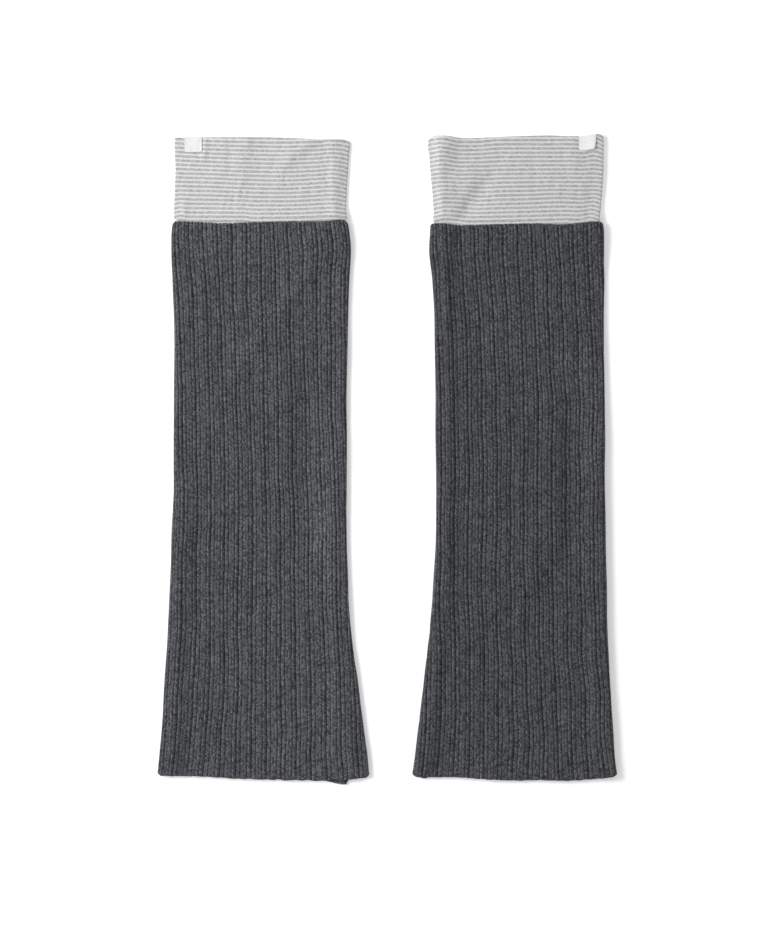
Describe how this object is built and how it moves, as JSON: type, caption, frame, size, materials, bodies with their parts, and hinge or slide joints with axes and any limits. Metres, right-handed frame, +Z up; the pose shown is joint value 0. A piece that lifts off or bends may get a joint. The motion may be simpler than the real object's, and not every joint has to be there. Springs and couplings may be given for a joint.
{
  "type": "pair of leg warmers",
  "caption": "Pair of long ribbed knit leg warmers with flared hems and striped jersey cuffs, laid flat side by side with small bare labels at the cuffs.",
  "frame": {"origin": "on the surface the pair lies on, under the middle of the pair's bounding box", "axes": "+X across the pair, from the left leg warmer to the right one; +Y along the legs, from hem to cuff; +Z up from the surface"},
  "size_m": [0.3268, 0.4638, 0.0081],
  "materials": {
    "rib_knit": "matte charcoal melange rib knit",
    "striped_jersey": "matte jersey in thin grey and white stripes",
    "woven_tape": "smooth white woven tape"
  },
  "bodies": {
    "root": {"left_tube": "rib_knit", "left_cuff": "striped_jersey", "left_label": "woven_tape", "right_tube": "rib_knit", "right_cuff": "striped_jersey", "right_label": "woven_tape"}
  },
  "joints": []
}
